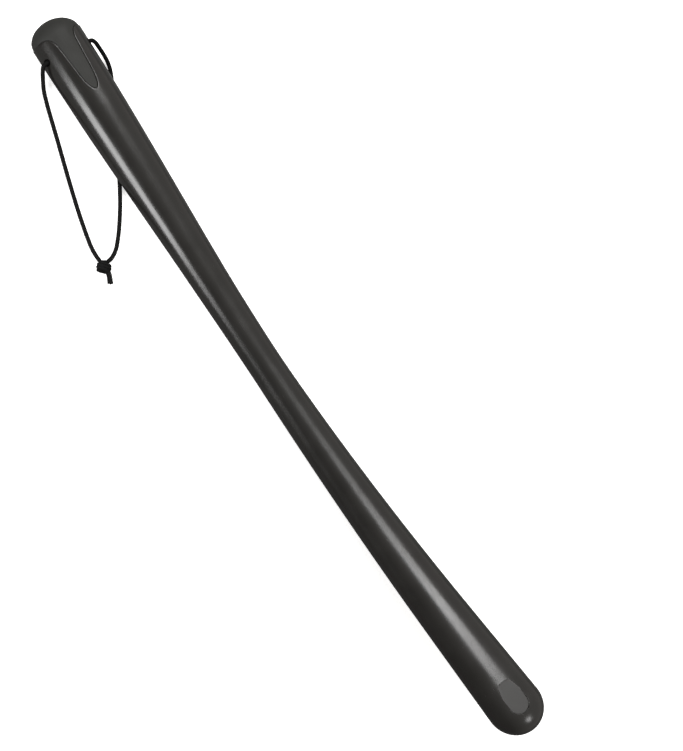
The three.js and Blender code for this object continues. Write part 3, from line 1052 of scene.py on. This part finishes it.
def make_cap():
    stations = np.concatenate([
        np.linspace(HEAD_END, SHAFT_START, HEAD_STEPS + 1)[:-1],
        steps(SHAFT_START, FINE_END, FINE_STEP)])
    rim = np.linspace(0, EDGE_SPAN * CAP_RIM, CAP_RIM_COLUMNS + 1)
    columns = np.concatenate([-rim[:0:-1], np.linspace(0, BACK_SPAN, BACK_COLUMNS + 1),
                              BACK_SPAN + rim[1:]])
    net = Net(stations, columns, closed=False)
    for turn in QUARTER_TURNS[::-1]:
        net.follow(on_cap, CAP_LIP * (1 - math.sin(turn)))
    net.drop(on_cap)
    outer = cap_place(net.s, net.c)
    under, share, _ = ring_place(net.s, net.c)
    under = under - back_normal(under) * ((POCKET_DEPTH - CAP_FLOOR_GAP) * share)[:, None]
    count = len(outer)
    faces = net.faces + [[i + count for i in reversed(face)] for face in net.faces]
    for loop in open_loops(net.faces):
        for i, j in zip(loop, loop[1:] + loop[:1]):
            # Along the net's first row its two rims meet, and so they close each other.
            if net.s[i] > HEAD_END or net.s[j] > HEAD_END:
                faces.append([i, j, j + count, i + count])
    return make_object("soft_cap", np.concatenate([outer, under]), faces, GRIP)


cap = make_cap()
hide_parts("grip_cap")


# ------------------------------------------------------------------ floor and light

FLOOR_REACH = 6.0
FLOOR_WHITE = 0.95            # how the camera sees the floor
FLOOR_GLOW = 0.6
FLOOR_GREY = 0.25             # what the floor throws back at the object
FLOOR_ROUGHNESS = 0.9
WORLD_COLOUR = (1.0, 0.97, 0.92, 1)
WORLD_LIGHT = 0.85            # strength on the object's left
WORLD_SHADE = 0.28            # and on its right
WORLD_LIGHT_Y = 0.2           # the light side is where a direction's Y is above this
WORLD_SHADE_Y = -0.6          # and the shaded side is where it is below this


def make_floor():
    mesh = bpy.data.meshes.new("floor")
    corners = [(-FLOOR_REACH, -FLOOR_REACH, 0), (FLOOR_REACH, -FLOOR_REACH, 0),
               (FLOOR_REACH, FLOOR_REACH, 0), (-FLOOR_REACH, FLOOR_REACH, 0)]
    mesh.from_pydata(corners, [], [(0, 1, 2, 3)])
    material, nodes, links, shader, _ = start_material("floor", specular=0.0)
    seen = nodes.new("ShaderNodeLightPath").outputs["Is Camera Ray"]
    white = remap(nodes, links, seen, FLOOR_GREY, FLOOR_WHITE, 0, 1)
    glow = remap(nodes, links, seen, 0, FLOOR_GLOW, 0, 1)
    links.new(white, shader.inputs["Base Color"])
    links.new(glow, shader.inputs["Emission Strength"])
    shader.inputs["Emission Color"].default_value = (1, 1, 1, 1)
    shader.inputs["Roughness"].default_value = FLOOR_ROUGHNESS
    mesh.materials.append(material)
    floor = bpy.data.objects.new("floor", mesh)
    bpy.context.scene.collection.objects.link(floor)


def make_world():
    world = bpy.data.worlds.new("studio")
    world.use_nodes = True
    nodes, links = world.node_tree.nodes, world.node_tree.links
    background = nodes["Background"]
    background.inputs["Color"].default_value = WORLD_COLOUR
    direction = nodes.new("ShaderNodeSeparateXYZ")
    links.new(nodes.new("ShaderNodeTexCoord").outputs["Generated"], direction.inputs["Vector"])
    strength = remap(nodes, links, direction.outputs["Y"], WORLD_SHADE, WORLD_LIGHT,
                     WORLD_SHADE_Y, WORLD_LIGHT_Y)
    links.new(strength, background.inputs["Strength"])
    bpy.context.scene.world = world
    bpy.context.scene.view_settings.view_transform = "Standard"


def soft_box(name, place, target, width, height, power):
    """A rectangular light at place, facing target; width runs along X."""
    data = bpy.data.lights.new(name, "AREA")
    data.shape = "RECTANGLE"
    data.size = width
    data.size_y = height
    data.energy = power
    light = bpy.data.objects.new(name, data)
    bpy.context.scene.collection.objects.link(light)
    out = (Vector(place) - Vector(target)).normalized()
    right = (Vector((1, 0, 0)) - out * out.x).normalized()
    matrix = Matrix((right, out.cross(right), out)).transposed().to_4x4()
    matrix.translation = Vector(place)
    light.matrix_world = matrix
    light.visible_camera = False


make_floor()
make_world()
soft_box("top_light", place=(-1.58, 1.45, 4.0), target=(0.15, 0.0, 0.0),
         width=1.1, height=2.0, power=110)
soft_box("tip_light", place=(1.9, 1.0, 3.0), target=(0.28, 0.0, 0.05),
         width=0.9, height=0.7, power=20)
soft_box("side_light", place=(-0.200, -0.40, 0.205), target=(-0.200, 0.0, 0.015),
         width=0.21, height=0.20, power=1.9)

for piece in (body, cap, cord_piece, knot):
    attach(piece, "root")
